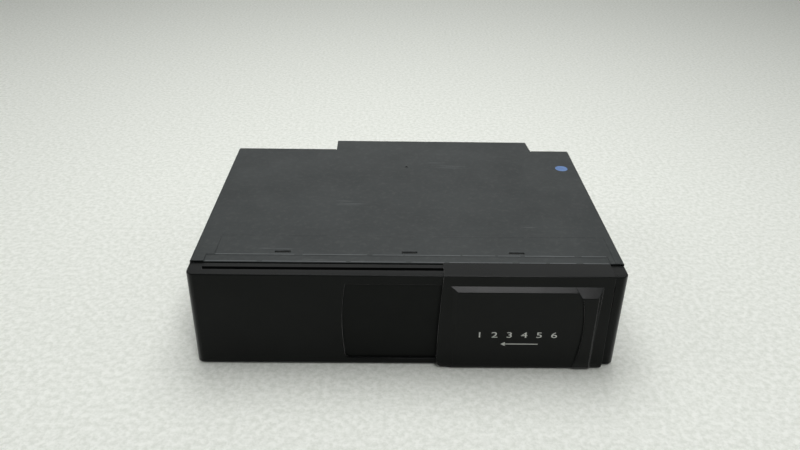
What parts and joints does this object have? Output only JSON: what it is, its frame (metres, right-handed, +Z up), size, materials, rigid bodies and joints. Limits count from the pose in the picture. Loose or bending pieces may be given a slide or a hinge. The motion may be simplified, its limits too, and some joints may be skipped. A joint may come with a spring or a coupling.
{
  "type": "car cd changer",
  "caption": "Flat black car disc changer: steel case, moulded front with a sliding door over the magazine slot, rear socket housing, and the full lift and playing mechanism inside.",
  "frame": {"origin": "centre of the footprint, on the underside", "axes": "+X to the right seen from the front, +Y from the front to the rear sockets, +Z up"},
  "size_m": [0.255, 0.2002, 0.0661],
  "materials": {
    "cover_steel": "satin black paint",
    "chassis_steel": "zinc-plated sheet",
    "bezel_plastic": "fine textured black",
    "door_plastic": "satin black",
    "shutter_plastic": "matte black",
    "button_plastic": "satin dark grey",
    "dial_plastic": "satin light grey",
    "magazine_plastic": "satin black",
    "tray_plastic": "satin dark grey",
    "lever_plastic": "natural acetal",
    "screw_steel": "yellow-passivated steel",
    "pin_steel": "turned steel",
    "motor_steel": "plated can",
    "gear_brass": "machined",
    "belt_rubber": "black",
    "lens_glass": "coated",
    "board_laminate": "green solder mask",
    "chip_plastic": "moulded",
    "socket_plastic": "moulded",
    "contact_metal": "plated"
  },
  "bodies": {
    "case": {"top_cover": "cover_steel", "bottom_chassis": "chassis_steel", "chassis_screws": "screw_steel", "case_screws": "screw_steel", "bracket_nuts": "pin_steel", "bezel": "bezel_plastic", "magazine_mouth": "shutter_plastic", "frame_pins": "pin_steel", "magazine_guide": "chassis_steel", "mechanism_frame": "chassis_steel", "lift_motor": "motor_steel", "motor_bracket": "chassis_steel", "main_board": "board_laminate", "board_spacers": "pin_steel", "board_chips": "chip_plastic", "board_capacitors": "chip_plastic", "interface_housing": "chassis_steel", "power_socket": "socket_plastic", "power_contacts": "contact_metal", "optical_socket": "socket_plastic", "interface_board": "board_laminate"},
    "dial_left": {"angle_dial_left": "dial_plastic"},
    "dial_right": {"angle_dial_right": "dial_plastic"},
    "door": {"sliding_door": "door_plastic"},
    "shutter": {"door_shutter": "shutter_plastic"},
    "button": {"eject_button": "button_plastic"},
    "lever": {"latch_lever": "lever_plastic"},
    "magazine": {"magazine_case": "magazine_plastic", "disc_tray_2": "tray_plastic", "disc_tray_3": "tray_plastic", "disc_tray_4": "tray_plastic", "disc_tray_5": "tray_plastic", "disc_tray_6": "tray_plastic"},
    "tray": {"disc_tray_1": "tray_plastic"},
    "ejector": {"ejector_arm": "lever_plastic"},
    "lift": {"lift_platform": "chassis_steel", "damper_bushes": "belt_rubber", "player_chassis": "chassis_steel", "spindle_motor": "motor_steel", "guide_rod": "pin_steel", "sled_motor": "motor_steel", "clamp_pins": "pin_steel", "clamp_spring": "pin_steel", "pulley_pins": "pin_steel", "transfer_belt": "belt_rubber", "transfer_motor": "motor_steel"},
    "cam": {"cam_slide": "chassis_steel"},
    "pinion": {"lift_pinion": "lever_plastic"},
    "wheel": {"lift_wheel": "lever_plastic"},
    "motor_gear": {"lift_motor_gear": "gear_brass"},
    "turntable": {"turntable": "lever_plastic"},
    "clamp": {"clamp_arm": "chassis_steel"},
    "puck": {"clamp_puck": "lever_plastic"},
    "sled": {"pickup_sled": "lever_plastic", "objective_lens": "lens_glass"},
    "screw": {"lead_screw": "pin_steel"},
    "sled_pinion": {"sled_pinion": "lever_plastic"},
    "hook": {"transfer_hook": "lever_plastic"},
    "pulley_left": {"belt_pulley_left": "lever_plastic"},
    "pulley_right": {"belt_pulley_right": "lever_plastic"}
  },
  "joints": [
    {"name": "dial_left_turn", "type": "hinge", "parent": "case", "child": "dial_left", "pos_m": [-0.1275, 0.00155, 0.033], "axis": [-1, 0, 0], "range_deg": [0, 90]},
    {"name": "dial_right_turn", "type": "hinge", "parent": "case", "child": "dial_right", "pos_m": [0.1275, 0.00155, 0.033], "axis": [1, 0, 0], "range_deg": [0, 90]},
    {"name": "door_slide", "type": "slide", "parent": "case", "child": "door", "axis": [-1, 0, 0], "range_m": [0, 0.139]},
    {"name": "shutter_slide", "type": "slide", "parent": "case", "child": "shutter", "axis": [-1, 0, 0], "range_m": [0, 0.047]},
    {"name": "eject_press", "type": "slide", "parent": "case", "child": "button", "axis": [0, 1, 0], "range_m": [0, 0.0025], "stiffness_N_per_m": 400},
    {"name": "latch_turn", "type": "hinge", "parent": "case", "child": "lever", "pos_m": [-0.021, -0.07845, 0.0175], "axis": [0, 0, 1], "range_deg": [0, 22]},
    {"name": "magazine_slide", "type": "slide", "parent": "case", "child": "magazine", "axis": [0, -1, 0], "range_m": [0, 0.003]},
    {"name": "ejector_turn", "type": "hinge", "parent": "case", "child": "ejector", "pos_m": [0.062, 0.05885, 0.0255], "axis": [0, 0, -1], "range_deg": [0, 4.3]},
    {"name": "tray_slide", "type": "slide", "parent": "magazine", "child": "tray", "axis": [1, 0, 0], "range_m": [-0.082, 0]},
    {"name": "lift_slide", "type": "slide", "parent": "case", "child": "lift", "axis": [0, 0, 1], "range_m": [0, 0.023]},
    {"name": "cam_slide_travel", "type": "slide", "parent": "case", "child": "cam", "axis": [-1, 0, 0], "range_m": [0, 0.023]},
    {"name": "lift_pinion_spin", "type": "hinge", "parent": "case", "child": "pinion", "pos_m": [-0.084, -0.03345, 0.0059], "axis": [0, 0, 1], "range_deg": [0, 219.63]},
    {"name": "lift_wheel_spin", "type": "hinge", "parent": "case", "child": "wheel", "pos_m": [-0.09874, -0.04377, 0.0059], "axis": [0, 0, 1], "range_deg": [-109.82, 0]},
    {"name": "lift_motor_spin", "type": "hinge", "parent": "case", "child": "motor_gear", "pos_m": [-0.113, -0.03651, 0.0059], "axis": [0, 0, 1], "range_deg": [0, 329.45]},
    {"name": "turntable_spin", "type": "hinge", "parent": "lift", "child": "turntable", "pos_m": [-0.031, -0.01845, 0.0207], "axis": [0, 0, 1], "continuous": true},
    {"name": "clamp_tilt", "type": "hinge", "parent": "lift", "child": "clamp", "pos_m": [-0.1004, -0.01845, 0.0269], "axis": [0, 1, 0], "range_deg": [0, 4]},
    {"name": "puck_spin", "type": "hinge", "parent": "clamp", "child": "puck", "pos_m": [-0.03117, -0.01845, 0.03174], "axis": [-0.0698, 0, 0.9976], "continuous": true},
    {"name": "sled_slide", "type": "slide", "parent": "lift", "child": "sled", "axis": [-1, 0, 0], "range_m": [0, 0.034]},
    {"name": "lead_screw_spin", "type": "hinge", "parent": "lift", "child": "screw", "pos_m": [-0.102, 0.00055, 0.0114], "axis": [1, 0, 0], "range_deg": [0, 4080]},
    {"name": "sled_pinion_spin", "type": "hinge", "parent": "lift", "child": "sled_pinion", "pos_m": [-0.0438, 0.00695, 0.0148], "axis": [1, 0, 0], "range_deg": [-6676.36, 0]},
    {"name": "hook_slide", "type": "slide", "parent": "lift", "child": "hook", "axis": [1, 0, 0], "range_m": [-0.082, 0]},
    {"name": "pulley_left_spin", "type": "hinge", "parent": "lift", "child": "pulley_left", "pos_m": [-0.0985, 0.03705, 0.0093], "axis": [0, 0, 1], "range_deg": [0, 1044.06]},
    {"name": "pulley_right_spin", "type": "hinge", "parent": "lift", "child": "pulley_right", "pos_m": [-0.02, 0.03705, 0.0093], "axis": [0, 0, 1], "range_deg": [0, 1044.06]}
  ],
  "couplings": [
    {"joint": "shutter_slide", "follows": "door_slide", "ratio": 0.33813},
    {"joint": "latch_turn", "follows": "eject_press", "rad_per_m": 153.59},
    {"joint": "ejector_turn", "follows": "magazine_slide", "rad_per_m": 25},
    {"joint": "cam_slide_travel", "follows": "lift_slide", "ratio": 1},
    {"joint": "lift_pinion_spin", "follows": "lift_slide", "rad_per_m": 166.67},
    {"joint": "lift_wheel_spin", "follows": "lift_slide", "rad_per_m": -83.333},
    {"joint": "lift_motor_spin", "follows": "lift_slide", "rad_per_m": 250},
    {"joint": "puck_spin", "follows": "turntable_spin", "ratio": 1},
    {"joint": "lead_screw_spin", "follows": "sled_slide", "rad_per_m": 2094.4},
    {"joint": "sled_pinion_spin", "follows": "sled_slide", "rad_per_m": -3427.2},
    {"joint": "hook_slide", "follows": "tray_slide", "ratio": 1},
    {"joint": "pulley_left_spin", "follows": "tray_slide", "rad_per_m": -222.22},
    {"joint": "pulley_right_spin", "follows": "tray_slide", "rad_per_m": -222.22}
  ]
}
